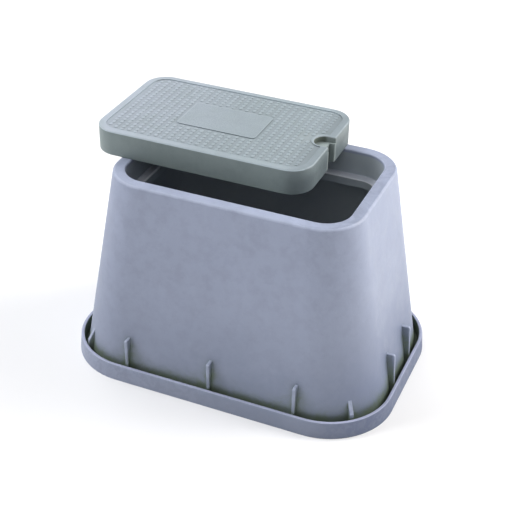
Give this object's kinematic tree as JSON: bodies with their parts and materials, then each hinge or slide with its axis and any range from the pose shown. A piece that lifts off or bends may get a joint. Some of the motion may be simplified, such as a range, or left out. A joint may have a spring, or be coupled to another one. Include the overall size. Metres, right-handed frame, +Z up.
{
  "type": "valve box",
  "caption": "Tapered rectangular ground box with a wide foot flange, open below, and a flat treaded lid lying loose across its open top.",
  "frame": {"origin": "middle of the foot flange's underside, on the ground", "axes": "+Z up out of the open top, +X along the long side, towards the end where the recess is uncovered; +Y towards the long side that the lid overhangs"},
  "size_m": [0.493, 0.339, 0.3425],
  "materials": {
    "body_grey": "fine moulded grain, lilac-tinted mid grey",
    "lid_green_grey": "fine moulded grain, green-tinted grey"
  },
  "bodies": {
    "root": {"valve_box_body": "body_grey", "valve_box_lid": "lid_green_grey"}
  },
  "joints": []
}
